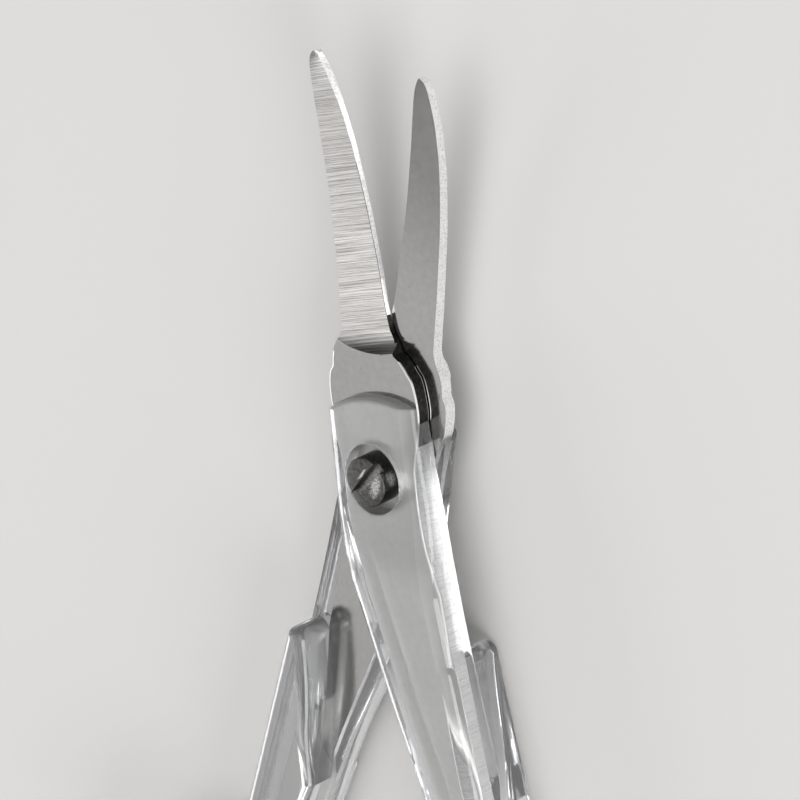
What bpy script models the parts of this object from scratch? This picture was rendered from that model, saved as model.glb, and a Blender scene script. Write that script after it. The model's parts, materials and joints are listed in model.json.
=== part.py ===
# Eyebrow scissors: two steel levers with ground, upturned blades, each moulded into a clear
# plastic handle with a finger ring, crossing on one slotted pivot screw. They lie flat on the
# rest plane, tips towards +Y, opened as far as the handles lie in the hand before a cut.
# Metres, +Z up. The origin is under the middle of the whole object, on the rest plane.
#
# One lever is modelled in its own frame: pivot axis on Z, blade towards +Y with its cutting
# edge at +X and its spine at -X, handle leaning to +X, outer face up at +Z and the sliding
# face just above Z = 0. The rear lever is the same pair of pieces turned over about Y.

import math

import bmesh
import bpy
from mathutils import Matrix, Vector

OBJECT_NAME = "eyebrow_scissors"

# Opening of the levers, in degrees
REST_HALF_OPENING = 8.1

# Clearances
SLIDING_GAP = 0.0001
MOULD_GAP = 0.0001
PIVOT_GAP = 0.0001
THREAD_GAP = 0.00005
RING_STOP_GAP = 0.0001
CUT_OVERRUN = 0.002

# Steel levers
STEEL_THICKNESS = 0.0012
BLADE_REACH = 0.0359
BLADE_WIDTH = 0.0045
SHOULDER_HALF_WIDTH = 0.00485
SHOULDER_REACH = 0.0106
TANG_HALF_WIDTH = 0.0037
TANG_END_WIDTH = 0.0024
TANG_END_MARGIN = 0.0035

# Grinding of the blades
SPINE_RELIEF = 0.0001
TIP_RELIEF = 0.00042
EDGE_SIDE_THICKNESS = 0.00036
PLUNGE_RUN = 0.0006
BEVEL_WIDTH = 0.0002
EDGE_LAND = 0.00005
BEND_START = 0.0155
BEND_RADIUS = 0.083
BEND_STEP = 0.0016

# Clear handles
GRIP_HALF_THICKNESS = 0.0033
EDGE_ROUNDING = 0.0012
COVER_SKIN = 0.0009
COVER_SIDE_WALL = 0.00008
COVER_REACH = 0.0070
COVER_ARCH_RADIUS = 0.0100
COVER_ARCH_OFFSET = 0.0012
COVER_FULL_DEPTH = 0.0090
GRIP_END_INNER = 0.0047
GRIP_END_OUTER = 0.0105
FRONT_NOSE_REACH = 0.0145
REAR_NOSE_REACH = 0.0171
NOSE_WIDTH = 0.0022
PARTING_STEP = 0.00006

# Finger rings
RING_DROP = 0.0554
RING_HALF_WIDTH = 0.0116
RING_HALF_LENGTH = 0.0130
RING_BAND = 0.0030

# Pivot screw
SCREW_HEAD_RADIUS = 0.00208
SCREW_HEAD_HEIGHT = 0.00185
SCREW_HEAD_DOME = 0.00015
SCREW_SHANK_RADIUS = 0.00120
SCREW_END_PROUD = 0.00030
SCREW_END_CHAMFER = 0.00020
SLOT_WIDTH = 0.0009
SLOT_DEPTH = 0.00045
SLOT_ANGLE = 53
RECESS_GAP = 0.00055

# Where the tang leans within the grip, where the nose wall ends and how round the nose may be
TANG_LEAN_SHARE = 0.367
NOSE_MERGE_SHARE = 0.555
NOSE_ROUNDING_SHARE = 0.92

# Places that follow from the sizes above
INNER_FACE = SLIDING_GAP / 2
OUTER_FACE = INNER_FACE + STEEL_THICKNESS
RING_CENTRE_X = RING_HALF_WIDTH + RING_STOP_GAP
RING_HOLE_HALF_WIDTH = RING_HALF_WIDTH - RING_BAND
RING_HOLE_HALF_LENGTH = RING_HALF_LENGTH - RING_BAND
GRIP_REACH = RING_DROP - RING_HALF_LENGTH
TANG_REACH = RING_DROP - RING_HOLE_HALF_LENGTH - TANG_END_MARGIN
TANG_LEAN = GRIP_END_INNER + (GRIP_END_OUTER - GRIP_END_INNER) * TANG_LEAN_SHARE
NOSE_ROUNDING = min(EDGE_ROUNDING, (NOSE_WIDTH / 2 - PARTING_STEP) * NOSE_ROUNDING_SHARE)
COVER_HALF_WIDTH = SHOULDER_HALF_WIDTH + COVER_SIDE_WALL

# Blade outline: shares of the way from the shoulders to the tip and of BLADE_WIDTH across
EDGE_SHARES = ((0.060, 0.470), (0.152, 0.405), (0.293, 0.366), (0.456, 0.316), (0.611, 0.267),
               (0.717, 0.216), (0.788, 0.176), (0.880, 0.110), (0.950, 0.056))
TIP_SHARES = ((0.993, 0.000), (1.000, -0.060), (0.989, -0.125))
SPINE_SHARES = ((0.943, -0.205), (0.875, -0.285), (0.805, -0.345), (0.717, -0.400),
                (0.611, -0.460), (0.491, -0.505), (0.350, -0.522), (0.208, -0.560), (0.060, -0.620))

# Shoulders: shares of SHOULDER_HALF_WIDTH across and of SHOULDER_REACH along Y
EDGE_SHOULDER_SHARES = ((0.538, 1.010), (0.580, 0.950), (0.670, 0.922), (0.865, 0.850), (0.950, 0.790),
                        (1.000, 0.640), (1.000, 0.510), (0.910, 0.370))
SPINE_SHOULDER_SHARES = ((-0.588, 1.062), (-0.711, 0.943), (-0.845, 0.862), (-0.860, 0.815),
                         (-0.955, 0.755), (-0.990, 0.660), (-1.000, 0.510), (-0.910, 0.370))

# Tang: shares of TANG_HALF_WIDTH across plus shares of TANG_LEAN, and of TANG_REACH down
TANG_INNER_SHARES = ((-1.04, 0.00, -0.034), (-0.99, 0.00, 0.017), (-0.95, 0.00, 0.102),
                     (-0.86, 0.103, 0.209), (-0.62, 0.30, 0.409), (-0.38, 0.532, 0.613))
TANG_OUTER_SHARES = ((0.48, 0.584, 0.613), (0.72, 0.3435, 0.409), (0.98, 0.103, 0.209),
                     (1.02, 0.017, 0.102), (1.02, 0.00, 0.017), (1.04, 0.00, -0.034))

# Lever plan: shares of COVER_HALF_WIDTH across plus shares of GRIP_END_OUTER or _INNER,
# and of GRIP_REACH down
OUTER_SIDE_SHARES = ((1.000, 0.000, -0.136), (1.000, 0.055, 0.0705), (0.600, 0.343, 0.323),
                     (0.260, 0.698, 0.679), (0.100, 0.867, 0.849))
INNER_SIDE_SHARES = ((-0.060, 0.829, 0.849), (-0.220, 0.551, 0.645), (-0.560, 0.441, 0.4755),
                     (-0.700, 0.110, 0.280), (-0.930, 0.047, 0.161), (-0.980, 0.000, 0.0765),
                     (-1.000, 0.000, -0.136))

# Ring outline: shares of its half width and half length about its centre
RING_SHARES = ((0.150, 0.950), (0.500, 0.855), (0.830, 0.550), (1.000, 0.020), (0.905, -0.450),
               (0.560, -0.840), (0.000, -1.000), (-0.560, -0.840), (-0.905, -0.450),
               (-1.000, 0.020), (-0.930, 0.400), (-0.810, 0.720))

# Crown of the screw head, between its middle and its rim
CROWN_RADIUS_SHARE = 0.6
CROWN_HEIGHT_SHARE = 0.7

# Nose wall of the full-thickness grip: shares of the way from the nose to the merge
NOSE_WALL_SHARES = ((0.25, 0.20), (0.43, 0.41), (0.60, 0.70), (0.86, 0.89))

OUTLINE_STEPS = 5
STEEL_STEPS = 4
RING_HOLE_STEPS = 40
ROUND_STEPS = 40
ARCH_STEPS = 10
NOSE_STEPS = 8
ROUNDING_SEGMENTS = 3
MERGE_DISTANCE = 0.000001
FLAT_ANGLE = math.radians(0.5)
CORNER_ANGLE = math.radians(60)
SHARP_ANGLE = math.radians(30)


def clear_scene():
    for item in list(bpy.data.objects):
        bpy.data.objects.remove(item, do_unlink=True)


def make_collection(name):
    collection = bpy.data.collections.new(name)
    bpy.context.scene.collection.children.link(collection)
    return collection


def make_material(name, colour, roughness, metallic, alpha=1.0):
    material = bpy.data.materials.new(name)
    material.use_nodes = True
    shader = material.node_tree.nodes["Principled BSDF"]
    shader.inputs["Base Color"].default_value = (*colour, 1.0)
    shader.inputs["Roughness"].default_value = roughness
    shader.inputs["Metallic"].default_value = metallic
    shader.inputs["Alpha"].default_value = alpha
    material.diffuse_color = (*colour, alpha)
    return material


def link(item, collection):
    for owner in list(item.users_collection):
        owner.objects.unlink(item)
    collection.objects.link(item)


def settle(item):
    """Replace the mesh by the one its modifiers give, and drop the modifiers."""
    graph = bpy.context.evaluated_depsgraph_get()
    mesh = bpy.data.meshes.new_from_object(item.evaluated_get(graph))
    item.modifiers.clear()
    spent = item.data
    item.data = mesh
    bpy.data.meshes.remove(spent)


def triangulate(item):
    shape = bmesh.new()
    shape.from_mesh(item.data)
    bmesh.ops.triangulate(shape, faces=shape.faces)
    shape.to_mesh(item.data)
    shape.free()


def boolean(item, other, operation):
    triangulate(item)
    triangulate(other)
    modifier = item.modifiers.new(operation.lower(), "BOOLEAN")
    modifier.operation = operation
    modifier.solver = "EXACT"
    modifier.object = other
    settle(item)


def as_cutter(item):
    link(item, cutters)
    item.hide_render = True
    item.display_type = "WIRE"
    return item


def between(before, start, end, after, steps):
    """Points from start up to end on the smooth curve that also runs through its neighbours."""
    points = []
    for step in range(steps):
        t = step / steps
        linear = (end - before) * t
        square = (2 * before - 5 * start + 4 * end - after) * t ** 2
        cube = (3 * start - before - 3 * end + after) * t ** 3
        points.append((2 * start + linear + square + cube) / 2)
    return points


def smooth_loop(points, steps):
    count = len(points)
    loop = []
    for index in range(count):
        loop += between(*(points[(index + k - 1) % count] for k in range(4)), steps)
    return loop


def smooth_path(points, steps):
    reach = [points[0]] + points + [points[-1]]
    path = []
    for index in range(len(points) - 1):
        path += between(*reach[index:index + 4], steps)
    return path + [points[-1]]


def point_at(path, y):
    """The first point of the path at a height, on its way up or down."""
    for start, end in zip(path, path[1:]):
        if (start.y - y) * (end.y - y) <= 0 and start.y != end.y:
            return start.lerp(end, (y - start.y) / (end.y - start.y))
    return path[-1]


def moved_out(loop, distance):
    """The loop moved outwards along its own normals, for a loop that runs clockwise."""
    count = len(loop)
    result = []
    for index in range(count):
        along = loop[(index + 1) % count] - loop[index - 1]
        normal = Vector((-along.y, along.x)).normalized()
        result.append(loop[index] + normal * distance)
    return result


def ellipse(centre, half_width, half_length, steps):
    loop = []
    for step in range(steps):
        angle = 2 * math.pi * step / steps
        loop.append(Vector((centre[0] + half_width * math.cos(angle),
                            centre[1] + half_length * math.sin(angle))))
    return loop


def plate(name, loops, bottom, top):
    """A flat plate between two heights, cut out along the loops."""
    curve = bpy.data.curves.new(name, "CURVE")
    curve.dimensions = "2D"
    curve.fill_mode = "BOTH"
    curve.extrude = (top - bottom) / 2
    for loop in loops:
        spline = curve.splines.new("POLY")
        spline.points.add(len(loop) - 1)
        spline.use_cyclic_u = True
        for point, place in zip(spline.points, loop):
            point.co = (place[0], place[1], 0, 1)
    drawn = bpy.data.objects.new(name + "_outline", curve)
    bpy.context.scene.collection.objects.link(drawn)
    drawn.location.z = (top + bottom) / 2
    bpy.context.view_layer.update()
    graph = bpy.context.evaluated_depsgraph_get()
    mesh = bpy.data.meshes.new_from_object(drawn.evaluated_get(graph))
    mesh.transform(drawn.matrix_world)
    shape = bmesh.new()
    shape.from_mesh(mesh)
    bmesh.ops.remove_doubles(shape, verts=shape.verts, dist=MERGE_DISTANCE)
    bmesh.ops.dissolve_limit(shape, angle_limit=FLAT_ANGLE, verts=shape.verts, edges=shape.edges)
    bmesh.ops.recalc_face_normals(shape, faces=shape.faces)
    shape.to_mesh(mesh)
    shape.free()
    bpy.data.objects.remove(drawn, do_unlink=True)
    item = bpy.data.objects.new(name, mesh)
    model.objects.link(item)
    return item


def round_edges(item, width):
    modifier = item.modifiers.new("rounded_edges", "BEVEL")
    modifier.width = width
    modifier.segments = ROUNDING_SEGMENTS
    modifier.limit_method = "ANGLE"
    modifier.angle_limit = CORNER_ANGLE
    modifier.use_clamp_overlap = False
    settle(item)


def blade_points(shares):
    return [Vector((across * BLADE_WIDTH, SHOULDER_REACH + along * (BLADE_REACH - SHOULDER_REACH)))
            for along, across in shares]


def shoulder_points(shares):
    return [Vector((across * SHOULDER_HALF_WIDTH, along * SHOULDER_REACH)) for across, along in shares]


def tang_points(shares):
    return [Vector((across * TANG_HALF_WIDTH + lean * TANG_LEAN, -down * TANG_REACH))
            for across, lean, down in shares]


def tang_end_points():
    half = TANG_END_WIDTH / 2
    return [Vector((TANG_LEAN - half, half - TANG_REACH)),
            Vector((TANG_LEAN, -TANG_REACH)),
            Vector((TANG_LEAN + half, half - TANG_REACH))]


def steel_loop():
    """Outline of a whole steel lever, clockwise from the base of the spine."""
    points = list(reversed(blade_points(SPINE_SHARES))) + list(reversed(blade_points(TIP_SHARES)))
    points += list(reversed(blade_points(EDGE_SHARES))) + shoulder_points(EDGE_SHOULDER_SHARES)
    points += list(reversed(tang_points(TANG_OUTER_SHARES)))
    points += list(reversed(tang_end_points()))
    points += list(reversed(tang_points(TANG_INNER_SHARES)))
    points += list(reversed(shoulder_points(SPINE_SHOULDER_SHARES)))
    return smooth_loop(points, STEEL_STEPS)


def station_x(points, y):
    """Where a line through the points, sorted by height, stands at one height."""
    ordered = sorted(points, key=lambda point: point.y)
    y = min(max(y, ordered[0].y), ordered[-1].y)
    for low, high in zip(ordered, ordered[1:]):
        if y <= high.y:
            return low.x + (high.x - low.x) * (y - low.y) / (high.y - low.y)
    return ordered[-1].x


def loft(name, sections):
    """A closed body through sections that all have the same number of corners."""
    shape = bmesh.new()
    rings = [[shape.verts.new(corner) for corner in section] for section in sections]
    size = len(rings[0])
    for low, high in zip(rings, rings[1:]):
        for k in range(size):
            shape.faces.new((low[k], low[(k + 1) % size], high[(k + 1) % size], high[k]))
    shape.faces.new(rings[0])
    shape.faces.new(rings[-1])
    bmesh.ops.recalc_face_normals(shape, faces=shape.faces)
    mesh = bpy.data.meshes.new(name)
    shape.to_mesh(mesh)
    shape.free()
    item = bpy.data.objects.new(name, mesh)
    model.objects.link(item)
    return item


def grinding_cutter():
    """The space that the grinding wheel clears above the wedge of the blade."""
    sections = []
    top = OUTER_FACE + CUT_OVERRUN
    spine_line = blade_points(SPINE_SHARES)
    edge_line = blade_points(EDGE_SHARES)
    heights = [SHOULDER_REACH, SHOULDER_REACH + PLUNGE_RUN] + [point.y for point in edge_line]
    for y in heights + [BLADE_REACH + CUT_OVERRUN]:
        spine = station_x(spine_line, y)
        edge = station_x(edge_line, y)
        way = (y - SHOULDER_REACH) / (BLADE_REACH - SHOULDER_REACH)
        spine_z = OUTER_FACE - SPINE_RELIEF - (TIP_RELIEF - SPINE_RELIEF) * way
        edge_z = INNER_FACE + EDGE_SIDE_THICKNESS
        if y == SHOULDER_REACH:
            spine_z = OUTER_FACE + SPINE_RELIEF
            edge_z = OUTER_FACE + SPINE_RELIEF
        slope = (edge_z - spine_z) / (edge - spine)
        left = spine - CUT_OVERRUN
        right = edge + CUT_OVERRUN
        sections.append(((left, y, spine_z - slope * CUT_OVERRUN), (right, y, edge_z + slope * CUT_OVERRUN),
                         (right, y, top), (left, y, top)))
    return as_cutter(loft("grinding_cutter", sections))


def bevel_cutter():
    """The space outside the narrow cutting bevel along the edge."""
    sections = []
    edge_line = blade_points(EDGE_SHARES)
    heights = [SHOULDER_REACH + PLUNGE_RUN] + [point.y for point in edge_line]
    for y in heights + [BLADE_REACH + CUT_OVERRUN]:
        edge = station_x(edge_line, y)
        low = INNER_FACE + EDGE_LAND
        rise = (EDGE_SIDE_THICKNESS - EDGE_LAND) / BEVEL_WIDTH
        if y == SHOULDER_REACH + PLUNGE_RUN:
            edge += BEVEL_WIDTH
        inner = edge - BEVEL_WIDTH - CUT_OVERRUN
        inner_z = low + rise * (BEVEL_WIDTH + CUT_OVERRUN)
        outer = edge + CUT_OVERRUN
        sections.append(((inner, y, inner_z), (outer, y, low - rise * CUT_OVERRUN), (outer, y, inner_z)))
    return as_cutter(loft("bevel_cutter", sections))


def bend(item, direction):
    """Turn the blade up along an arc that depends on the distance from the pivot alone,
    so that both blades keep their gap at every opening."""
    shape = bmesh.new()
    shape.from_mesh(item.data)
    y = BEND_START
    while y < BLADE_REACH:
        everything = shape.verts[:] + shape.edges[:] + shape.faces[:]
        bmesh.ops.bisect_plane(shape, geom=everything, dist=MERGE_DISTANCE,
                               plane_co=(0, y, 0), plane_no=(0, 1, 0))
        y += BEND_STEP
    bmesh.ops.triangulate(shape, faces=shape.faces)
    for vert in shape.verts:
        past = math.hypot(vert.co.x, vert.co.y) - BEND_START
        if vert.co.y > 0 and past > 0:
            vert.co.z += direction * past ** 2 / (2 * BEND_RADIUS)
    shape.to_mesh(item.data)
    shape.free()


def make_blade(name, hole_gap, bend_direction):
    blade = plate(name, [steel_loop()], INNER_FACE, OUTER_FACE)
    hole = ellipse((0, 0), SCREW_SHANK_RADIUS + hole_gap, SCREW_SHANK_RADIUS + hole_gap, ROUND_STEPS)
    boolean(blade, as_cutter(plate(name + "_hole", [hole], -CUT_OVERRUN, OUTER_FACE + CUT_OVERRUN)),
            "DIFFERENCE")
    boolean(blade, grinding_cutter(), "DIFFERENCE")
    boolean(blade, bevel_cutter(), "DIFFERENCE")
    bend(blade, bend_direction)
    return blade


def side_points(shares, end_x):
    return [Vector((across * COVER_HALF_WIDTH + lean * end_x, -down * GRIP_REACH))
            for across, lean, down in shares]


def ring_points():
    return [Vector((RING_CENTRE_X + across * RING_HALF_WIDTH, along * RING_HALF_LENGTH - RING_DROP))
            for across, along in RING_SHARES]


def lever_side_path():
    """Down the outer side of the handle, round its ring and up the inner side."""
    outer = side_points(OUTER_SIDE_SHARES, GRIP_END_OUTER) + [Vector((GRIP_END_OUTER, -GRIP_REACH))]
    inner = [Vector((GRIP_END_INNER, -GRIP_REACH))] + side_points(INNER_SIDE_SHARES, GRIP_END_INNER)
    return smooth_path(outer + ring_points() + inner, OUTLINE_STEPS)


def lever_loop():
    """Plan of the clear handle, clockwise, its front end still square in front of the arch."""
    front_y = COVER_REACH + CUT_OVERRUN
    front = [Vector((-COVER_HALF_WIDTH, front_y)), Vector((COVER_HALF_WIDTH, front_y))]
    return front + lever_side_path()


def grip_loop(nose_reach):
    """Plan of the full-thickness grip: the lever's plan behind a rounded nose on its outer side."""
    path = lever_side_path()
    radius = NOSE_WIDTH / 2
    start = point_at(path, -nose_reach - radius)
    end = point_at(list(reversed(path)), -nose_reach - (GRIP_REACH - nose_reach) * NOSE_MERGE_SHARE)
    kept = [point for point in path if point.y < min(start.y, end.y) - MERGE_DISTANCE]
    before = [point for point in path[:path.index(kept[0])] if point.y < start.y - MERGE_DISTANCE]
    centre = Vector((start.x - radius, start.y))
    foot = centre - Vector((radius, 0))
    wall = []
    for across, down in reversed(NOSE_WALL_SHARES):
        wall.append(Vector((foot.x + (end.x - foot.x) * across, foot.y + (end.y - foot.y) * down)))
    cap = []
    for step in range(1, NOSE_STEPS):
        angle = math.pi * step / NOSE_STEPS
        cap.append(centre + Vector((-radius * math.cos(angle), radius * math.sin(angle))))
    side = smooth_path([end] + wall + [foot], OUTLINE_STEPS - 1)
    return [start] + before + kept + side + cap


def arch_cutter():
    """Everything in front of the arched end of the cover."""
    far = COVER_HALF_WIDTH + CUT_OVERRUN
    centre_y = COVER_REACH - COVER_ARCH_RADIUS
    right = math.asin(min(1, (COVER_HALF_WIDTH - COVER_ARCH_OFFSET) / COVER_ARCH_RADIUS))
    left = math.asin(min(1, (COVER_HALF_WIDTH + COVER_ARCH_OFFSET) / COVER_ARCH_RADIUS))
    loop = [Vector((-far, COVER_REACH + 2 * CUT_OVERRUN)), Vector((far, COVER_REACH + 2 * CUT_OVERRUN))]
    loop.append(Vector((far, centre_y + COVER_ARCH_RADIUS * math.cos(right))))
    for step in range(2 * ARCH_STEPS + 1):
        angle = right - (right + left) * step / (2 * ARCH_STEPS)
        loop.append(Vector((COVER_ARCH_OFFSET + COVER_ARCH_RADIUS * math.sin(angle),
                            centre_y + COVER_ARCH_RADIUS * math.cos(angle))))
    loop.append(Vector((-far, centre_y + COVER_ARCH_RADIUS * math.cos(left))))
    return as_cutter(plate("arch_cutter", [loop], -2 * GRIP_HALF_THICKNESS, 2 * GRIP_HALF_THICKNESS))


def thin_towards_arch(item):
    """Let the outer face fall from the full grip to the thin cover at the arch."""
    shape = bmesh.new()
    shape.from_mesh(item.data)
    everything = shape.verts[:] + shape.edges[:] + shape.faces[:]
    bmesh.ops.bisect_plane(shape, geom=everything, dist=MERGE_DISTANCE,
                           plane_co=(0, -COVER_FULL_DEPTH, 0), plane_no=(0, 1, 0))
    thin = (OUTER_FACE + COVER_SKIN) / GRIP_HALF_THICKNESS
    for vert in shape.verts:
        if vert.co.y > -COVER_FULL_DEPTH:
            way = (vert.co.y + COVER_FULL_DEPTH) / (COVER_REACH + COVER_FULL_DEPTH)
            vert.co.z *= 1 + (thin - 1) * way
    shape.to_mesh(item.data)
    shape.free()


def ring_hole_cutter():
    """The finger hole, with a rounded mouth at both faces."""
    ledges = [(-GRIP_HALF_THICKNESS - CUT_OVERRUN, EDGE_ROUNDING)]
    for step in range(2 * ROUNDING_SEGMENTS + 2):
        lower = step <= ROUNDING_SEGMENTS
        turned = ROUNDING_SEGMENTS - step if lower else step - ROUNDING_SEGMENTS - 1
        angle = math.pi * turned / (2 * ROUNDING_SEGMENTS)
        height = GRIP_HALF_THICKNESS - EDGE_ROUNDING * (1 - math.sin(angle))
        ledges.append((-height if lower else height, EDGE_ROUNDING * (1 - math.cos(angle))))
    ledges.append((GRIP_HALF_THICKNESS + CUT_OVERRUN, EDGE_ROUNDING))
    sections = []
    for height, wider in ledges:
        loop = ellipse((RING_CENTRE_X, -RING_DROP), RING_HOLE_HALF_WIDTH + wider,
                       RING_HOLE_HALF_LENGTH + wider, RING_HOLE_STEPS)
        sections.append([(point.x, point.y, height) for point in loop])
    return as_cutter(loft("ring_hole_cutter", sections))


def make_handle(name, nose_reach):
    handle = plate(name, [lever_loop()], -GRIP_HALF_THICKNESS, GRIP_HALF_THICKNESS)
    round_edges(handle, EDGE_ROUNDING)
    thin_towards_arch(handle)
    reach = GRIP_REACH + RING_DROP
    below = ellipse((0, -GRIP_REACH), reach, reach, ROUND_STEPS)
    boolean(handle, as_cutter(plate("lower_half_cutter", [below], -2 * GRIP_HALF_THICKNESS, INNER_FACE)),
            "DIFFERENCE")
    grip = plate("grip_tool", [moved_out(grip_loop(nose_reach), -PARTING_STEP)], -GRIP_HALF_THICKNESS,
                 GRIP_HALF_THICKNESS - PARTING_STEP)
    round_edges(grip, NOSE_ROUNDING)
    boolean(handle, as_cutter(grip), "UNION")
    boolean(handle, ring_hole_cutter(), "DIFFERENCE")
    boolean(handle, arch_cutter(), "DIFFERENCE")
    recess_radius = SCREW_HEAD_RADIUS + RECESS_GAP
    recess = ellipse((0, 0), recess_radius, recess_radius, ROUND_STEPS)
    boolean(handle, as_cutter(plate("recess_cutter", [recess], -CUT_OVERRUN, 2 * GRIP_HALF_THICKNESS)),
            "DIFFERENCE")
    pocket = plate("tang_pocket_cutter", [moved_out(steel_loop(), MOULD_GAP)], INNER_FACE - MOULD_GAP,
                   OUTER_FACE + MOULD_GAP)
    boolean(handle, as_cutter(pocket), "DIFFERENCE")
    return handle


def make_screw(name):
    """Cheese-headed screw, turned as one profile, its slot sawn across the head."""
    seat = OUTER_FACE + PIVOT_GAP / 2
    top = seat + SCREW_HEAD_HEIGHT
    end = -OUTER_FACE - SCREW_END_PROUD
    crown_radius = SCREW_HEAD_RADIUS * CROWN_RADIUS_SHARE
    profile = ((0, top + SCREW_HEAD_DOME), (crown_radius, top + SCREW_HEAD_DOME * CROWN_HEIGHT_SHARE),
               (SCREW_HEAD_RADIUS, top), (SCREW_HEAD_RADIUS, seat), (SCREW_SHANK_RADIUS, seat),
               (SCREW_SHANK_RADIUS, end + SCREW_END_CHAMFER), (SCREW_SHANK_RADIUS - SCREW_END_CHAMFER, end),
               (0, end))
    shape = bmesh.new()
    verts = [shape.verts.new((radius, 0, z)) for radius, z in profile]
    for first, second in zip(verts, verts[1:]):
        shape.edges.new((first, second))
    mesh = bpy.data.meshes.new(name)
    shape.to_mesh(mesh)
    shape.free()
    screw = bpy.data.objects.new(name, mesh)
    model.objects.link(screw)
    turning = screw.modifiers.new("turned", "SCREW")
    turning.steps = ROUND_STEPS
    turning.render_steps = ROUND_STEPS
    turning.use_merge_vertices = True
    turning.merge_threshold = MERGE_DISTANCE
    settle(screw)
    half_length = SCREW_HEAD_RADIUS + CUT_OVERRUN
    half_width = SLOT_WIDTH / 2
    slot = [Vector((-half_length, -half_width)), Vector((half_length, -half_width)),
            Vector((half_length, half_width)), Vector((-half_length, half_width))]
    turn = Matrix.Rotation(math.radians(SLOT_ANGLE + REST_HALF_OPENING), 2)
    slot = [turn @ corner for corner in slot]
    boolean(screw, as_cutter(plate("slot_cutter", [slot], top - SLOT_DEPTH, top + CUT_OVERRUN)), "DIFFERENCE")
    return screw


def add_empty(name):
    item = bpy.data.objects.new(name, None)
    model.objects.link(item)
    return item


def finish(item, parent, material):
    item.parent = parent
    item.data.materials.clear()
    item.data.materials.append(material)
    item.data.shade_smooth()
    item.data.set_sharp_from_angle(angle=SHARP_ANGLE)


clear_scene()
model = make_collection(OBJECT_NAME)
cutters = make_collection("cutters")

steel = make_material("ground_stainless_steel", (0.60, 0.60, 0.59), 0.25, 1.0)
screw_steel = make_material("dark_turned_steel", (0.20, 0.20, 0.20), 0.30, 1.0)
clear_plastic = make_material("clear_plastic", (0.93, 0.94, 0.95), 0.05, 0.0, 0.35)

origin = add_empty("scissors_origin")
front_lever = add_empty("front_lever")
rear_lever = add_empty("rear_lever")
front_lever.parent = origin
rear_lever.parent = origin
front_lever.rotation_euler = (0, 0, math.radians(REST_HALF_OPENING))
rear_lever.rotation_euler = (0, math.pi, -math.radians(REST_HALF_OPENING))

front_handle = make_handle("front_handle", FRONT_NOSE_REACH)
rear_handle = make_handle("rear_handle", REAR_NOSE_REACH)
finish(front_handle, front_lever, clear_plastic)
finish(rear_handle, rear_lever, clear_plastic)

front_blade = make_blade("front_blade", PIVOT_GAP, 1)
rear_blade = make_blade("rear_blade", THREAD_GAP, -1)
finish(front_blade, front_lever, steel)
finish(rear_blade, rear_lever, steel)

pivot_screw = make_screw("pivot_screw")
pivot_screw.rotation_euler = (0, math.pi, 0)
finish(pivot_screw, rear_lever, screw_steel)

# Put the middle of the whole object over the origin and its lowest faces on the rest plane
bpy.context.view_layer.update()
corners = [item.matrix_world @ vert.co
           for item in model.objects if item.type == "MESH" for vert in item.data.vertices]
low = Vector(min(corner[axis] for corner in corners) for axis in range(3))
high = Vector(max(corner[axis] for corner in corners) for axis in range(3))
origin.location = (-(low.x + high.x) / 2, -(low.y + high.y) / 2, -low.z)
bpy.context.view_layer.update()
print("size in mm", [round(1000 * (b - a), 3) for a, b in zip(low, high)])
print("pivot in mm", [round(1000 * value, 3) for value in origin.location])
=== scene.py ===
import json
import math

import bpy
from mathutils import Matrix, Vector


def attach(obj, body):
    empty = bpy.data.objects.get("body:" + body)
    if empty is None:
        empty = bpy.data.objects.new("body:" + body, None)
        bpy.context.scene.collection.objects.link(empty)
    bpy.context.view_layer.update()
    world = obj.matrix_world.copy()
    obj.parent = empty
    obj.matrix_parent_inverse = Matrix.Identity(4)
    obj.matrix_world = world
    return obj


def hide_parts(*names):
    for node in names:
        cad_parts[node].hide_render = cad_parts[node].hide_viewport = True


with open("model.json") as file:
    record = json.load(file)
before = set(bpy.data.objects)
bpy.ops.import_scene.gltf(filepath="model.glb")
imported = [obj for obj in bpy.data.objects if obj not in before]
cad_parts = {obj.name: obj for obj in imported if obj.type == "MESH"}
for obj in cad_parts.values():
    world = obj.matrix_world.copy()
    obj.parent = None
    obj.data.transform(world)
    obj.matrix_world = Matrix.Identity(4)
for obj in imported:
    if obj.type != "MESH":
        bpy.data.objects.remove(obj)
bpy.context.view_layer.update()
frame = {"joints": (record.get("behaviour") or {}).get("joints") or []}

mm = 0.001
scene = bpy.context.scene
scene.view_settings.view_transform = "Standard"

# Everything on a lever is drawn in millimetres in the lever's own frame, as in the CAD: pivot on
# the Z axis, blade to +Y, cutting edge at +X, handle leaning to +X, sliding face just above Z = 0.
pivot = Vector(frame["joints"][0]["pos_m"])
halfOpening = math.radians(8.1)
slidingFace = 0.05
outerFace = 1.25
frontPlace = Matrix.Translation(pivot) @ Matrix.Rotation(halfOpening, 4, "Z") @ Matrix.Scale(mm, 4)
rearPlace = (Matrix.Translation(pivot) @ Matrix.Rotation(-halfOpening, 4, "Z")
             @ Matrix.Rotation(math.pi, 4, "Y") @ Matrix.Scale(mm, 4))


# Camera
cameraValues = {
    "toCamera": Vector((0.621, 0.432, 0.653)),   # from the pivot, read from the photo
    "rightInImage": Vector((0.727, -0.010, -0.686)),
    "distance": 0.4,
    "lens": 225.0,
    "sensor": 36.0,
    "clip": (0.01, 20.0),
    "picture": 800,                              # pixels along each side
    "pivotPixel": (392.9, 469.8),
}


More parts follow.
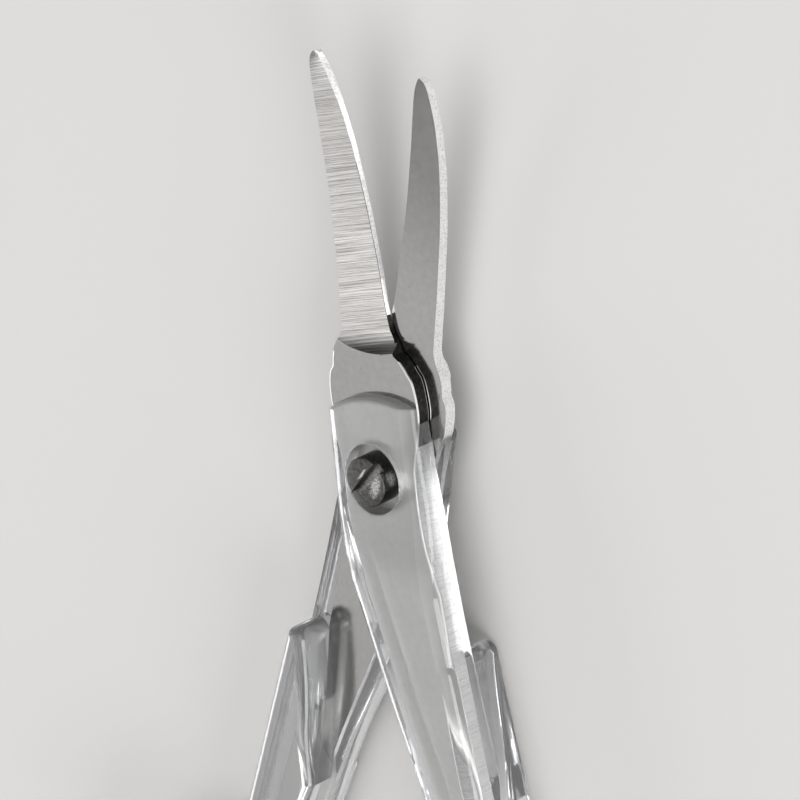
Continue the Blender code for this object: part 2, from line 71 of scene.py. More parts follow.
def placeCamera(v):
    back = v["toCamera"].normalized()
    right = (v["rightInImage"] - back * v["rightInImage"].dot(back)).normalized()
    up = back.cross(right)
    # aimed so that the pivot falls on its pixel
    focal = v["lens"] / v["sensor"] * v["picture"]
    middle = v["picture"] / 2
    aim = -back * focal + right * (middle - v["pivotPixel"][0]) + up * (v["pivotPixel"][1] - middle)
    aim.normalize()
    up = (up - aim * up.dot(aim)).normalized()
    right = aim.cross(up)
    data = bpy.data.cameras.new("photoCamera")
    data.lens = v["lens"]
    data.sensor_width = v["sensor"]
    data.clip_start, data.clip_end = v["clip"]
    camera = bpy.data.objects.new("photoCamera", data)
    scene.collection.objects.link(camera)
    turn = Matrix((right, up, -aim)).transposed().to_4x4()
    camera.matrix_world = Matrix.Translation(pivot + back * v["distance"]) @ turn
    scene.camera = camera


placeCamera(cameraValues)
print("camera placed")


# Small helpers
sharpAngle = math.radians(50)
smoothBelow = math.radians(32)


def linear(hexColour):
    channels = [int(hexColour[k:k + 2], 16) / 255 for k in (1, 3, 5)]
    return [c / 12.92 if c <= 0.04045 else ((c + 0.055) / 1.055) ** 2.4 for c in channels] + [1.0]


def addNode(tree, kind, settings=None, links=None):
    node = tree.nodes.new(kind)
    for name, value in (settings or {}).items():
        if name == "stops":
            ramp = node.color_ramp
            while len(ramp.elements) < len(value):
                ramp.elements.new(0.5)
            for element, (place, colour) in zip(ramp.elements, value):
                element.position = place
                element.color = linear(colour)
        elif isinstance(name, int) or name in node.inputs:
            node.inputs[name].default_value = value
        else:
            setattr(node, name, value)
    for name, source in (links or {}).items():
        tree.links.new(source, node.inputs[name])
    return node


def newMaterial(name):
    material = bpy.data.materials.new(name)
    material.use_nodes = True
    tree = material.node_tree
    tree.nodes.clear()
    output = tree.nodes.new("ShaderNodeOutputMaterial")
    shader = tree.nodes.new("ShaderNodeBsdfPrincipled")
    tree.links.new(shader.outputs["BSDF"], output.inputs["Surface"])
    return material, tree, shader


def selectOnly(item):
    if bpy.context.object and bpy.context.object.mode != "OBJECT":
        bpy.ops.object.mode_set(mode="OBJECT")
    bpy.ops.object.select_all(action="DESELECT")
    item.select_set(True)
    bpy.context.view_layer.objects.active = item


def applyModifier(item, kind, **settings):
    selectOnly(item)
    modifier = item.modifiers.new(kind.lower(), kind)
    for name, value in settings.items():
        setattr(modifier, name, value)
    bpy.ops.object.modifier_apply(modifier=modifier.name)


def cutWith(item, tool, operation="DIFFERENCE"):
    applyModifier(item, "BOOLEAN", operation=operation, solver="EXACT", object=tool)
    bpy.data.objects.remove(tool, do_unlink=True)


def makeNormalsOutward(item):
    selectOnly(item)
    bpy.ops.object.mode_set(mode="EDIT")
    bpy.ops.mesh.select_all(action="SELECT")
    bpy.ops.mesh.remove_doubles(threshold=0.0005)
    bpy.ops.mesh.normals_make_consistent(inside=False)
    bpy.ops.object.mode_set(mode="OBJECT")


def bevelSelected(item, edgeTest, width, segments, clamp=True):
    # an edge test gets the edge's two ends and the normals of the two faces beside it
    selectOnly(item)
    bpy.ops.object.mode_set(mode="EDIT")
    bpy.ops.mesh.select_all(action="DESELECT")
    bpy.ops.mesh.select_mode(type="EDGE")
    bpy.ops.object.mode_set(mode="OBJECT")
    mesh = item.data
    beside = {}
    for face in mesh.polygons:
        for key in face.edge_keys:
            beside.setdefault(key, []).append(face)
    for edge in mesh.edges:
        faces = beside.get(edge.key, [])
        a, b = mesh.vertices[edge.key[0]].co, mesh.vertices[edge.key[1]].co
        edge.select = len(faces) == 2 and edgeTest(a, b, faces[0].normal, faces[1].normal)
    bpy.ops.object.mode_set(mode="EDIT")
    bpy.ops.mesh.bevel(offset=width, offset_type="OFFSET", segments=segments, profile=0.5,
                       affect="EDGES", clamp_overlap=clamp)
    bpy.ops.object.mode_set(mode="OBJECT")


def sharp(a, b, n1, n2):
    return n1.angle(n2, 0) > sharpAngle


def smoothPath(points, steps):
    # a smooth line through all the points, in so many steps from one to the next
    points = [Vector((p[0], p[1])) for p in points]
    points = points[:1] + points + points[-1:]
    path = []
    for a, b, c, d in zip(points, points[1:], points[2:], points[3:]):
        for step in range(steps):
            t = step / steps
            path.append((2 * b + (c - a) * t + (2 * a - 5 * b + 4 * c - d) * t * t
                         + (3 * b - a - 3 * c + d) * t ** 3) / 2)
    return path + [points[-1]]


def acrossAt(path, y):
    y = min(max(y, path[0].y), path[-1].y)
    for low, high in zip(path, path[1:]):
        if low.y <= y <= high.y and high.y > low.y:
            return low.x + (high.x - low.x) * (y - low.y) / (high.y - low.y)
    return path[-1].x


def placeOn(item, place, body, node):
    item.data.transform(place)
    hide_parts(node)
    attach(item, body)


# Steel levers
steelValues = {
    # (across, along) from the end of the tang to the shoulders
    "tangEnd": ((6.83, -41.9), (6.2, -41.7), (5.65, -40.8)),
    "spineSide": ((4.5, -35.5), (3.3, -30.0), (2.23, -25.7), (-0.24, -17.1), (-2.48, -8.75),
                  (-3.52, -4.3), (-3.66, -0.7), (-3.85, 1.4), (-4.41, 3.9), (-4.80, 5.3),
                  (-4.85, 6.2), (-4.80, 7.1), (-4.62, 8.0), (-4.25, 8.55), (-4.17, 8.68),
                  (-4.12, 9.1), (-3.80, 9.6), (-3.42, 10.05), (-3.00, 10.9)),
    "tangEndRight": ((7.5, -41.7), (8.0, -40.8)),
    "edgeSide": ((7.2, -35.5), (6.4, -30.0), (5.76, -25.7), (5.01, -17.1), (4.33, -8.75),
                 (3.89, -4.3), (3.77, -0.7), (3.85, 1.4), (4.41, 3.9), (4.82, 5.3), (4.86, 6.6),
                 (4.62, 8.3), (4.19, 9.0), (3.36, 9.72), (3.20, 9.84), (2.86, 10.02), (2.70, 10.55)),
    "lineSteps": 6,
    # rows across the lever, close together where its outline or its height changes quickly
    "tangEndRows": (-41.89, -41.8, -41.6, -41.2, -40.6, -39.7),
    "tangRows": (-38.0, 1.5),      # the first row, and the distance to the next
    "neckRows": (3.07, 0.22),      # one of them falls where the run-out begins
    "bladeRows": (12.6, 0.75),
    "tipLength": 3.2,
    "tipRows": 12,
    "tipCrowding": 1.8,
    "columns": 16,
    "bevelColumns": 2,
    "bevelShare": 0.3,             # of the blade's width, the most that the bevel takes
    "darkLineWidth": 0.05,              # a dark line painted between the ground face and the honed bevel
    "darkLineShare": 0.2,
    # short of the run-out the last columns spread, which leaves room for the punch's rounding
    "spreadEnds": 10.9,
    "spreadRun": 0.7,
    "bevelSpread": 0.45,
    "darkLineSpread": 0.25,
    # steel left above the sliding face after grinding
    "groundAtSpine": 0.98,
    "groundAtEdge": 0.36,
    "land": 0.04,
    "thinnerTip": 0.25,
    "thinsFrom": 12.0,
    # the line where the grinding wheel left the ricasso: a shallow curve that rises at the spine
    "runOut": {"lowest": 10.33, "middle": 0.15, "curve": 0.052, "risesBefore": -0.5, "rise": 0.004},
    "plungeRun": 1.15,
    "followMiddle": 10.6,          # the rows about here follow that line, this far each way
    "followReach": 1.6,
    "bendStart": 15.5,
    "bendRadius": 83.0,
    "holeRadius": 1.3,
    "dieRoll": 0.13,               # rounded by the punch
    "dieRollSpan": (-39.5, 10.2),
    "brightEdge": 0.06,            # the shoulder's lower edge, which glints between the levers
    "brightEdgeSpan": (5.0, 9.6),
    "brightEdgeBeyond": 2.6,
    "brokenEdge": 0.025,
    # where the materials change along the lever
    "bevelFrom": 12.2,
    "bevelFades": 14.0,            # short of this the bevel gets the painted shadow of the sheared wall
    "darkLineEnds": 26.5,
    "shoulderSpan": (2.5, 10.0),
    "shoulderBeyond": 2.4,
    "shadowedWallSpan": (3.0, 13.5),
}
# each blade as the photo shows it: spine, edge, and how wide its honed bevel is from root to tip
frontBlade = {
    "spine": ((-2.79, 12.1), (-2.56, 15.9), (-2.34, 20.1), (-2.02, 24.1), (-1.78, 27.3),
              (-1.56, 29.5), (-1.33, 31.6), (-1.02, 33.4), (-0.74, 34.6), (-0.42, 35.3), (0.05, 35.8)),
    "edge": ((2.12, 12.1), (1.82, 14.5), (1.66, 18.0), (1.57, 19.7), (1.45, 22.7), (1.36, 25.4),
             (1.31, 27.6), (1.22, 29.8), (1.10, 31.5), (0.92, 33.2), (0.68, 34.5), (0.38, 35.5),
             (0.15, 35.85)),
    "bevel": ((12.0, 0.05), (15.0, 0.07), (19.0, 0.11), (25.0, 0.14), (28.0, 0.18), (31.0, 0.28),
              (33.5, 0.38), (35.9, 0.38)),
    "bend": 1,
}
rearBlade = {
    "spine": ((-2.79, 12.1), (-2.58, 15.9), (-2.42, 19.5), (-2.38, 22.2), (-2.27, 25.9),
              (-2.15, 28.9), (-1.98, 30.9), (-1.79, 32.6), (-1.53, 34.0), (-1.25, 35.2),
              (-0.99, 35.8), (-0.62, 36.05)),
    "edge": ((2.12, 12.1), (1.82, 14.5), (1.65, 18.0), (1.50, 20.5), (1.25, 23.7), (1.02, 26.9),
             (0.77, 29.7), (0.59, 31.6), (0.33, 33.7), (0.10, 34.8), (-0.18, 35.6), (-0.40, 36.05)),
    "bevel": frontBlade["bevel"],
    "bend": -1,
}


def spaced(start, end, apart):
    places = []
    while start < end:
        places.append(start)
        start += apart
    return places, start


def makeRows(v, tip):
    tang = spaced(v["tangRows"][0], v["neckRows"][0], v["tangRows"][1])[0]
    neck, y = spaced(v["neckRows"][0], v["bladeRows"][0], v["neckRows"][1])
    blade, y = spaced(y, tip - v["tipLength"], v["bladeRows"][1])
    left = tip - y
    last = [tip - left * (1 - k / v["tipRows"]) ** v["tipCrowding"] for k in range(v["tipRows"] + 1)]
    return list(v["tangEndRows"]) + tang + neck + blade + last


def plungeLine(x):
    v = steelValues["runOut"]
    rise = v["rise"] * max(v["risesBefore"] - x, 0) ** 3
    return v["lowest"] + v["curve"] * (x - v["middle"]) ** 2 + rise


def makeSteelLever(name, v, blade):
    leftLine = smoothPath(v["tangEnd"] + v["spineSide"] + blade["spine"], v["lineSteps"])
    rightLine = smoothPath(v["tangEnd"][:1] + v["tangEndRight"] + v["edgeSide"] + blade["edge"],
                           v["lineSteps"])
    bevelLine = [Vector((width, y)) for y, width in blade["bevel"]]
    tip = min(leftLine[-1].y, rightLine[-1].y)
    rows = makeRows(v, tip)
    flatColumns = v["columns"] - v["bevelColumns"]
    bpy.ops.mesh.primitive_grid_add(x_subdivisions=v["columns"], y_subdivisions=len(rows) - 1, size=1)
    lever = bpy.context.object
    lever.name = lever.data.name = name
    for vert in lever.data.vertices:
        column = round((vert.co.x + 0.5) * v["columns"])
        y = rows[round((vert.co.y + 0.5) * (len(rows) - 1))]
        left, right = acrossAt(leftLine, y), acrossAt(rightLine, y)
        spread = min(max((v["spreadEnds"] - y) / v["spreadRun"], 0), 1)
        bevel = min(acrossAt(bevelLine, y) + v["bevelSpread"] * spread, (right - left) * v["bevelShare"])
        darkLine = min(v["darkLineWidth"] + v["darkLineSpread"] * spread, (right - left) * v["darkLineShare"])
        if column < flatColumns:
            x = left + (right - bevel - darkLine - left) * column / (flatColumns - 1)
        elif column == flatColumns:
            x = right - bevel
        else:
            x = right - bevel * (v["columns"] - column) / v["bevelColumns"]
        near = min(max(v["followReach"] - abs(y - v["followMiddle"]), 0), 1)
        y += (plungeLine(x) - v["runOut"]["lowest"]) * near
        toTip = min(max((y - v["thinsFrom"]) / (tip - v["thinsFrom"]), 0), 1)
        spineTop = v["groundAtSpine"] - v["thinnerTip"] * toTip
        if column <= flatColumns:
            share = (x - left) / max(right - bevel - left, 0.01)
            ground = slidingFace + spineTop + (v["groundAtEdge"] - spineTop) * share
        else:
            share = (v["columns"] - column) / v["bevelColumns"]
            ground = slidingFace + v["land"] + (v["groundAtEdge"] - v["land"]) * share
        # the wheel leaves a hollow: steep at the flat, easing into the ground face
        past = min(max((y - plungeLine(x)) / v["plungeRun"], 0), 1)
        vert.co = (x, y, outerFace + (ground - outerFace) * (1 - (1 - past) ** 2))

    # drawn well down, and then brought up to the sliding face
    wellDown = -5
    selectOnly(lever)
    bpy.ops.object.mode_set(mode="EDIT")
    bpy.ops.mesh.select_all(action="SELECT")
    bpy.ops.mesh.extrude_region_move(TRANSFORM_OT_translate={"value": (0, 0, wellDown)})
    bpy.ops.object.mode_set(mode="OBJECT")
    for vert in lever.data.vertices:
        if vert.co.z < wellDown / 2:
            vert.co.z = slidingFace
    makeNormalsOutward(lever)

    def within(a, b, span):
        return span[0] < min(a.y, b.y) and max(a.y, b.y) < span[1]

    def dieRolled(a, b, n1, n2):
        atRim = max(n1.z, n2.z) > 0.9 and min(abs(n1.z), abs(n2.z)) < 0.2
        return atRim and within(a, b, v["dieRollSpan"])

    def underShoulder(a, b, n1, n2):
        atSide = max(a.z, b.z) < slidingFace * 2 and min(a.x, b.x) > v["brightEdgeBeyond"]
        return atSide and sharp(a, b, n1, n2) and within(a, b, v["brightEdgeSpan"])

    bevelSelected(lever, dieRolled, v["dieRoll"], 3)
    bevelSelected(lever, underShoulder, v["brightEdge"], 2)
    bevelSelected(lever, sharp, v["brokenEdge"], 2)
    print(name, "outline and grinding done")
    return lever


def bendBlade(lever, v, blade):
    for vert in lever.data.vertices:
        past = math.hypot(vert.co.x, vert.co.y) - v["bendStart"]
        if vert.co.y > 0 and past > 0:
            vert.co.z += blade["bend"] * past ** 2 / (2 * v["bendRadius"])


def paintSteel(lever, v, blade, materials):
    for material in materials:
        lever.data.materials.append(material)
    ground, honed, polished, frosted, paintedShadow = range(len(materials))
    rightLine = smoothPath(v["edgeSide"] + blade["edge"], v["lineSteps"])
    bevelLine = [Vector((width, y)) for y, width in blade["bevel"]]
    for face in lever.data.polygons:
        x, y, z = face.center
        up = face.normal.z
        past = y - plungeLine(x)
        if up < -0.7 or (up > 0.9 and past < 0):
            slot = polished
        elif past > 0.2 and up > 0.25:
            pastBevel = x - (acrossAt(rightLine, y) - acrossAt(bevelLine, y))
            if pastBevel > 0.005 and y > v["bevelFrom"]:
                # painted shadow on the bevel's root, where the other lever blocks the light
                slot = honed if y > v["bevelFades"] else paintedShadow
            else:
                # a narrow column beside the bevel is painted in the same near-black material as the
                # shadowed wall
                darkLine = pastBevel > -v["darkLineWidth"] and v["bevelFrom"] < y < v["darkLineEnds"]
                slot = paintedShadow if darkLine else ground
        elif up > 0.3 or (up > 0.1 and z > 0.9):
            # the punch's rounding is burnished white along the right shoulder
            shoulder = x > v["shoulderBeyond"] and v["shoulderSpan"][0] < y < v["shoulderSpan"][1]
            slot = honed if shoulder else polished if past < 0 else ground
        else:
            # painted shadow on the edge-side wall beside the pivot, cast by the other lever
            wall = x > 0 and v["shadowedWallSpan"][0] < y < v["shadowedWallSpan"][1] and abs(up) < 0.3
            slot = paintedShadow if wall else frosted
        face.material_index = slot


# Clear handles
handleValues = {
    # (across, along). Past the arch the plate is cut off later: its corners there only leave room
    # for the rounding.
    "outerSide": ((2.0, 12.6), (3.9, 11.6), (4.74, 9.4), (4.74, 5.5), (4.95, 2.0), (5.42, -3.0),
                  (6.50, -13.7), (8.57, -28.8), (9.6, -36.0), (10.5, -42.4)),
    "innerSide": ((4.7, -42.4), (3.6, -36.0), (1.55, -27.4), (-0.66, -20.2), (-2.92, -11.9),
                  (-4.33, -6.8), (-4.90, -3.2), (-5.04, 1.5), (-5.03, 5.5), (-5.03, 9.4),
                  (-3.9, 11.6), (-2.0, 12.6)),
    "lineSteps": 14,
    "ringCentre": (11.7, -55.4),
    "ringHalf": (11.6, 13.0),
    "ringHoleHalf": (8.6, 10.0),
    # the ring's outline, in shares of its half width and half length
    "ring": ((0.150, 0.950), (0.500, 0.855), (0.830, 0.550), (1.000, 0.020), (0.905, -0.450),
             (0.560, -0.840), (0.000, -1.000), (-0.560, -0.840), (-0.905, -0.450), (-1.000, 0.020),
             (-0.930, 0.400), (-0.810, 0.720)),
    "halfThickness": 3.3,
    "partingFace": 0.07,           # the inner face of the half-thickness arm
    "rounding": 1.55,
    "mouthRounding": 1.2,          # where the finger hole meets the faces
    "roundingSteps": 9,
    "partingStep": 0.05,
    "noseReach": {"front": 14.5, "rear": 17.1},
    "noseWidth": 2.2,
    "noseRounding": 0.95,
    "noseEnds": 42.4,              # where the grip meets the ring
    "noseMerge": 0.555,            # this share of the way there its wall meets the inner side
    "noseWall": ((0.86, 0.89), (0.60, 0.70), (0.43, 0.41), (0.25, 0.20)),
    "archCentre": (1.2, -3.0),
    "archRadius": 10.0,
    "archRim": (0.50, 0.95),       # rounded this far in, and this far down before it is thinned
    "thinAtArch": 2.33,
    "fullFrom": -9.0,
    "coverCuts": 16,               # one a millimetre, from there on
    "coverCutsAcross": (7, 0.6),   # so many on each side of the middle, this far apart
    "coverHalfWidth": 5.0,
    "crown": 0.26,                 # the thin cover is this much lower at its sides
    "crownPower": 3.5,
    "crownGrowth": 1.6,            # reaches its full depth before the arch
    "recessRadius": 2.88,
    "recessRim": 0.16,
    "mattReach": 0.07,
}


def drawnPlate(name, path, bottom, top):
    bpy.ops.mesh.primitive_circle_add(vertices=len(path), radius=1, fill_type="NGON",
                                      location=(0, 0, 0))
    plate = bpy.context.object
    plate.name = plate.data.name = name
    for vert, place in zip(plate.data.vertices, path):
        vert.co = (place[0], place[1], bottom)
    bpy.ops.object.mode_set(mode="EDIT")
    bpy.ops.mesh.select_all(action="SELECT")
    bpy.ops.mesh.extrude_region_move(TRANSFORM_OT_translate={"value": (0, 0, top - bottom)})
    bpy.ops.object.mode_set(mode="OBJECT")
    makeNormalsOutward(plate)
    return plate


def turnedBody(name, centre, steps, sides):
    # drawn up from a disc in steps, each with its height and its half width across x and y
    (height, halfX, halfY), *others = steps
    bpy.ops.mesh.primitive_circle_add(vertices=sides, radius=1, fill_type="NGON", location=(0, 0, 0))
    body = bpy.context.object
    body.name = body.data.name = name
    bpy.ops.object.mode_set(mode="EDIT")
    bpy.ops.mesh.select_all(action="SELECT")
    bpy.ops.transform.resize(value=(halfX, halfY, 1), center_override=(0, 0, 0))
    bpy.ops.transform.translate(value=(centre[0], centre[1], height))
    for nextHeight, nextX, nextY in others:
        rise = (0, 0, nextHeight - height)
        bpy.ops.mesh.extrude_region_move(TRANSFORM_OT_translate={"value": rise})
        bpy.ops.transform.resize(value=(nextX / halfX, nextY / halfY, 1),
                                 center_override=(centre[0], centre[1], nextHeight))
        height, halfX, halfY = nextHeight, nextX, nextY
    bpy.ops.object.mode_set(mode="OBJECT")
    makeNormalsOutward(body)
    return body


def roundRim(plate, height, width, segments):
    def onRim(a, b, n1, n2):
        level = abs(a.z - height) < 1e-4 and abs(b.z - height) < 1e-4
        return level and abs(abs(n1.z) - abs(n2.z)) > 0.9
    bevelSelected(plate, onRim, width, segments, clamp=False)


def handlePath(v):
    ring = [(v["ringCentre"][0] + x * v["ringHalf"][0], v["ringCentre"][1] + y * v["ringHalf"][1])
            for x, y in v["ring"]]
    return smoothPath(list(v["outerSide"]) + ring + list(v["innerSide"]), v["lineSteps"])


def firstAt(path, y):
    for low, high in zip(path, path[1:]):
        if (low.y - y) * (high.y - y) <= 0 and low.y != high.y:
            return low.lerp(high, (y - low.y) / (high.y - low.y))


def gripPath(v, noseReach):
    # down the outer side, round the ring, up to where the nose's wall starts, and round the nose
    path = handlePath(v)
    radius = v["noseWidth"] / 2
    start = firstAt(path, -noseReach - radius)
    end = firstAt(path[::-1], -noseReach - (v["noseEnds"] - noseReach) * v["noseMerge"])
    last = len(path) - 1 - path[::-1].index([p for p in path[::-1] if p.y < end.y][0])
    outside = [p for p in path[:last + 1] if p.y < start.y - 0.05]
    centre = Vector((start.x - radius, start.y))
    foot = centre - Vector((radius, 0))
    wall = [foot + Vector(((end.x - foot.x) * a, (end.y - foot.y) * d)) for a, d in v["noseWall"]]
    cap = []
    for k in range(1, 20):
        turn = math.pi * k / 20
        cap.append(centre + Vector((-radius * math.cos(turn), radius * math.sin(turn))))
    return [start] + outside + smoothPath([end] + wall + [foot], 8) + cap


def movedIn(path, distance):
    moved = []
    for k in range(len(path)):
        along = path[(k + 1) % len(path)] - path[k - 1]
        moved.append(path[k] + Vector((along.y, -along.x)).normalized() * distance)
    return moved


def quarter(width, height, count):
    # how far in and how far up, along a rounded edge
    turns = [math.pi / 2 * k / count for k in range(count + 1)]
    return [(width * (1 - math.cos(turn)), height * math.sin(turn)) for turn in turns]


def ringTool(v, wider):
    # a spool: the hole's wall between two rounded mouths
    halfX, halfY = v["ringHoleHalf"][0] + wider, v["ringHoleHalf"][1] + wider
    rounding = v["mouthRounding"]
    straight = v["halfThickness"] - rounding
    mouth = [(straight + up, halfX + out, halfY + out)
             for out, up in quarter(rounding, rounding, v["roundingSteps"])]
    mouth.append((v["halfThickness"] + 1, halfX + rounding, halfY + rounding))
    steps = [(-up, x, y) for up, x, y in mouth[::-1]] + mouth
    return turnedBody("ringTool", v["ringCentre"], steps, 120)


def archTool(v):
    # all that lies in front of the arched end, over a plug whose top is rounded
    inward, down = v["archRim"]
    radius, top = v["archRadius"], v["halfThickness"]
    steps = [(-7, radius, radius)]
    steps += [(top - down + up, radius - across, radius - across)
              for across, up in quarter(inward, down, 8)]
    steps.append((top + 0.4, radius - inward - 0.02, radius - inward - 0.02))
    plug = turnedBody("archPlug", v["archCentre"], steps, 360)
    front = drawnPlate("archTool", ((-9, 16), (9, 16), (9, -0.5), (-9, -0.5)), -6, 6)
    cutWith(front, plug)
    return front


def recessTool(v):
    # widens at the top, which rounds the recess's rim
    radius, rim, top = v["recessRadius"], v["recessRim"], v["halfThickness"]
    steps = [(-4, radius, radius)]
    steps += [(top - rim * 2 + up, radius + out, radius + out) for out, up in quarter(rim, rim * 2, 5)]
    steps.append((top + 2, radius + rim, radius + rim))
    return turnedBody("recessTool", (0, 0), steps, 120)


def sliceCover(item, v):
    # cuts across and along the cover, so that its outer face can be crowned
    fullFrom = v["fullFrom"]
    onEachSide, apart = v["coverCutsAcross"]
    cuts = [((0, fullFrom, 0), (0, 1, 0), -math.inf)]
    cuts += [((0, fullFrom + k, 0), (0, 1, 0), fullFrom) for k in range(1, v["coverCuts"] + 1)]
    cuts += [((k * apart, 0, 0), (1, 0, 0), fullFrom) for k in range(-onEachSide, onEachSide + 1)]
    for place, direction, above in cuts:
        selectOnly(item)
        bpy.ops.object.mode_set(mode="EDIT")
        bpy.ops.mesh.select_mode(type="FACE")
        bpy.ops.mesh.select_all(action="DESELECT")
        bpy.ops.object.mode_set(mode="OBJECT")
        for face in item.data.polygons:
            face.select = face.center.y > above
        bpy.ops.object.mode_set(mode="EDIT")
        bpy.ops.mesh.bisect(plane_co=place, plane_no=direction)
        bpy.ops.object.mode_set(mode="OBJECT")


def crownCover(item, v):
    # thinner towards the arch, where it eases off, and a little lower at the sides than in the middle
    low, full = v["partingFace"], v["halfThickness"]
    length = v["archCentre"][1] + v["archRadius"] - v["fullFrom"]
    for vert in item.data.vertices:
        way = (vert.co.y - v["fullFrom"]) / length
        above = (vert.co.z - low) / (full - low)
        if way > 0 and above > 0.01:
            way = way * (2 - way)
            crown = v["crown"] * min(way * v["crownGrowth"], 1)
            side = abs(vert.co.x / v["coverHalfWidth"]) ** v["crownPower"]
            top = full + (v["thinAtArch"] - full) * way - crown * side
            vert.co.z = low + above * (top - low)


def makeHandle(name, v, noseReach):
    half = v["halfThickness"]
    # the arm and its ring, one half of the thickness, rounded on the outer face
    handle = drawnPlate(name, handlePath(v), v["partingFace"], half)
    roundRim(handle, half, v["rounding"], v["roundingSteps"])
    cutWith(handle, ringTool(v, 0))
    sliceCover(handle, v)
    # the grip, through the whole thickness, behind its nose
    outerFaceOfGrip = half - v["partingStep"]
    outline = movedIn(gripPath(v, noseReach), v["partingStep"])
    grip = drawnPlate(name + "Grip", outline, -half, outerFaceOfGrip)
    roundRim(grip, -half, v["noseRounding"], v["roundingSteps"])
    roundRim(grip, outerFaceOfGrip, v["noseRounding"], v["roundingSteps"])
    cutWith(grip, ringTool(v, v["partingStep"]))
    cutWith(handle, grip, "UNION")
    cutWith(handle, archTool(v))
    cutWith(handle, recessTool(v))
    crownCover(handle, v)
    makeNormalsOutward(handle)
    print(name, "shape done", len(handle.data.polygons), "faces")
    return handle


# Pivot screw
screwValues = {
    "headRadius": 2.08,
    "headSeat": 1.30,
    "headTop": 3.15,
    "shankRadius": 1.2,
    "endAt": -1.52,
    "endChamfer": 0.2,
    # how far in from the head's rim, and how far up from its top
    "crown": ((0.00, 0.00), (0.03, 0.05), (0.10, 0.09), (0.45, 0.115), (0.90, 0.135), (1.40, 0.147),
              (1.80, 0.15)),
    "slotWidth": 0.88,
    "slotDepth": 0.45,
    "slotTurn": 45.0,
    "brokenEdge": 0.03,
}


def makeScrew(name, v):
    head, shank = v["headRadius"], v["shankRadius"]
    steps = [(v["endAt"], shank - v["endChamfer"]), (v["endAt"] + v["endChamfer"], shank),
             (v["headSeat"], shank), (v["headSeat"], head)]
    steps += [(v["headTop"] + up, head - across) for across, up in v["crown"]]
    screw = turnedBody(name, (0, 0), [(height, radius, radius) for height, radius in steps], 128)
    bpy.ops.mesh.primitive_cube_add(size=1, location=(0, 0, v["headTop"] + 1 - v["slotDepth"]))
    slotTool = bpy.context.object
    slotTool.scale = (6, v["slotWidth"], 2)
    slotTool.rotation_euler.z = math.radians(v["slotTurn"])
    selectOnly(slotTool)
    bpy.ops.object.transform_apply(location=True, rotation=True, scale=True)
    cutWith(screw, slotTool)
    makeNormalsOutward(screw)

    def onHead(a, b, n1, n2):
        return sharp(a, b, n1, n2) and min(a.z, b.z) > v["headSeat"] + 0.01

    bevelSelected(screw, onHead, v["brokenEdge"], 2)
    print("screw shape done")
    return screw


# Materials
def leverCoordinates(tree, place):
    # a place on the object, in the lever's own frame and in millimetres
    back = place.inverted()
    turn = back.to_3x3()
    size = turn.col[0].length
    coordinates = addNode(tree, "ShaderNodeTexCoord")
    mapping = addNode(tree, "ShaderNodeMapping",
                      {"Location": back.translation, "Rotation": (turn * (1 / size)).to_euler(),
                       "Scale": (size, size, size)},
                      {"Vector": coordinates.outputs["Object"]})
    return mapping.outputs["Vector"]


def startMaterial(name, place, roughness=0.5, metallic=1.0):
    material, tree, shader = newMaterial(name)
    shader.inputs["Metallic"].default_value = metallic
    shader.inputs["Roughness"].default_value = roughness
    return material, tree, shader, leverCoordinates(tree, place)


def finishMaterial(tree, shader, colour=None, normal=None):
    if colour:
        tree.links.new(colour, shader.inputs["Base Color"])
    if normal:
        tree.links.new(normal, shader.inputs["Normal"])


def groundSteel(name, place):
    # stainless strip ground across on a belt: light lines from side to side, each a little
    # brighter or darker
    material, tree, shader, at = startMaterial(name, place, 0.34)
    # some 20 lines a millimetre across the blade, each 7 mm long before it fades
    lines = addNode(tree, "ShaderNodeMapping",
                    {"vector_type": "TEXTURE", "Rotation": (0, 0, math.radians(10.5)),
                     "Scale": (7.0, 0.046, 2.0)}, {"Vector": at})
    fine = addNode(tree, "ShaderNodeTexNoise", {"Scale": 1.0, "Detail": 4.0, "Roughness": 0.8},
                   {"Vector": lines.outputs["Vector"]})
    bands = addNode(tree, "ShaderNodeTexNoise", {"Scale": 0.3, "Detail": 2.0},
                    {"Vector": lines.outputs["Vector"]})
    both = addNode(tree, "ShaderNodeMath", {"operation": "MULTIPLY_ADD", 1: 0.14},
                   {0: bands.outputs["Fac"], 2: fine.outputs["Fac"]})
    colour = addNode(tree, "ShaderNodeValToRGB",
                     {"stops": ((0.42, "#7d7a77"), (0.55, "#d0cecb"), (0.68, "#fffdfa"))},
                     {"Fac": both.outputs[0]})
    # painted shade: dark grey in the run-out beside the ricasso, standing in for the darker room that
    # the wheel's steep hollow reflects
    split = addNode(tree, "ShaderNodeSeparateXYZ", None, {"Vector": at})
    runOut = addNode(tree, "ShaderNodeMapRange",
                     {"interpolation_type": "SMOOTHSTEP", "From Min": 10.35, "From Max": 12.3,
                      "To Min": 0.22, "To Max": 1.0}, {"Value": split.outputs["Y"]})
    runOutPaintedShade = addNode(tree, "ShaderNodeMixRGB", {"blend_type": "MULTIPLY", "Fac": 1.0},
                       {"Color1": colour.outputs["Color"], "Color2": runOut.outputs["Result"]})
    bump = addNode(tree, "ShaderNodeBump", {"Strength": 0.6, "Distance": 0.000004},
                   {"Height": fine.outputs["Fac"]})
    finishMaterial(tree, shader, runOutPaintedShade.outputs["Color"], bump.outputs["Normal"])
    return material


def honedSteel(name, place):
    # the narrow cutting bevel, off a fine stone: nearly white, faintly mottled
    material, tree, shader, at = startMaterial(name, place, 0.5)
    mottle = addNode(tree, "ShaderNodeTexNoise", {"Scale": 5.0, "Detail": 3.0, "Roughness": 0.6},
                     {"Vector": at})
    colour = addNode(tree, "ShaderNodeValToRGB", {"stops": ((0.32, "#b3b3b2"), (0.6, "#d6d6d5"))},
                     {"Fac": mottle.outputs["Fac"]})
    finishMaterial(tree, shader, colour.outputs["Color"])
    return material


